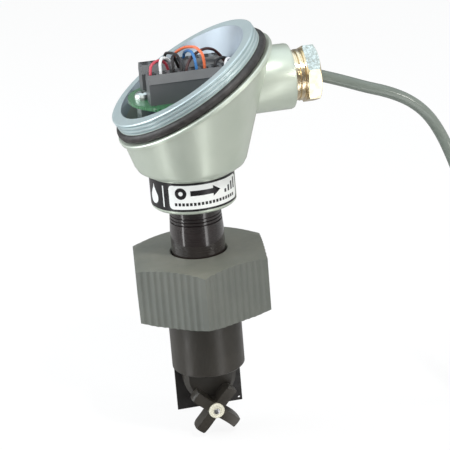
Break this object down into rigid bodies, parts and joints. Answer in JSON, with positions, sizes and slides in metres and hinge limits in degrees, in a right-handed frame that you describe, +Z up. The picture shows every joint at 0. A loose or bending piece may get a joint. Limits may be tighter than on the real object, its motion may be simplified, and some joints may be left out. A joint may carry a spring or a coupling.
{
  "type": "paddle wheel flow sensor",
  "caption": "Insertion flow sensor with a small four-blade paddle wheel under a round collar, a large hexagon union nut, and an open cast connection head with a cable.",
  "frame": {"origin": "on the axis of the probe, where the wall of the insertion collar ends", "axes": "+Z up the probe to the head, +X towards the cable entry, +Y away from the paddle wheel along its pin"},
  "size_m": [0.2599, 0.1072, 0.2081],
  "materials": {
    "body_plastic": "dark brown-grey moulded plastic, matte",
    "nut_plastic": "grey-green moulded plastic, matte",
    "washer_plastic": "natural plastic",
    "stem_coat": "very dark aubergine brown, glossy, turned",
    "head_paint": "cast aluminium, light blue-green grey paint, satin",
    "seal_rubber": "black rubber",
    "label_print": "black film with a bare white panel",
    "gland_plate": "nickel-plated brass, warm",
    "bush_rubber": "black rubber",
    "board_green": "green solder mask",
    "bright_screw": "bright zinc",
    "block_plastic": "dark grey plastic",
    "plate_black": "black sheet, satin",
    "wheel_plastic": "dark brown-grey plastic",
    "bush_white": "ivory plastic",
    "pin_steel": "stainless steel",
    "magnet": "ferrite",
    "cable_jacket": "grey PVC, matte",
    "wire_orange": "orange insulation",
    "wire_blue": "blue insulation",
    "wire_white": "white insulation",
    "wire_red": "red insulation",
    "wire_black": "black insulation",
    "wire_brown": "dark brown insulation"
  },
  "bodies": {
    "sensor": {"sensor_body": "body_plastic", "shield_plate": "plate_black", "wheel_pin": "pin_steel", "pickup": "seal_rubber", "pickup_lead": "wire_black", "flange_seal": "seal_rubber", "stem_tube": "stem_coat", "head_housing": "head_paint", "rim_seal": "seal_rubber", "neck_label": "label_print", "gland_body": "gland_plate", "gland_nut": "gland_plate", "gland_bush": "bush_rubber", "circuit_board": "board_green", "board_spacer_left": "bright_screw", "board_spacer_right": "bright_screw", "board_screw_left": "bright_screw", "board_screw_right": "bright_screw", "terminal_block_front": "block_plastic", "terminal_block_rear": "block_plastic", "clamp_screws_front": "bright_screw", "clamp_screws_rear": "bright_screw", "cable_inner_end": "cable_jacket", "wire_orange": "wire_orange", "wire_blue": "wire_blue", "wire_white": "wire_white", "wire_red": "wire_red", "wire_black": "wire_black", "wire_dark": "wire_black", "core_brown": "wire_brown", "core_black": "wire_black", "core_white": "wire_white", "lead_cable": "cable_jacket", "lead_coil": "cable_jacket", "lead_end_cores": "wire_white"},
    "nut_carrier": {"nut_slip_washer": "washer_plastic"},
    "nut": {"union_nut": "nut_plastic"},
    "wheel": {"paddle_wheel": "wheel_plastic", "wheel_bush": "bush_white", "wheel_magnets": "magnet"}
  },
  "joints": [
    {"name": "nut_lift", "type": "slide", "parent": "sensor", "child": "nut_carrier", "axis": [0, 0, 1], "range_m": [0, 0.0235]},
    {"name": "nut_spin", "type": "hinge", "parent": "nut_carrier", "child": "nut", "pos_m": [0, 0, 0.045], "axis": [0, 0, 1], "continuous": true},
    {"name": "wheel_spin", "type": "hinge", "parent": "sensor", "child": "wheel", "pos_m": [0, -0.00685, -0.0223], "axis": [0, 1, 0], "continuous": true}
  ]
}
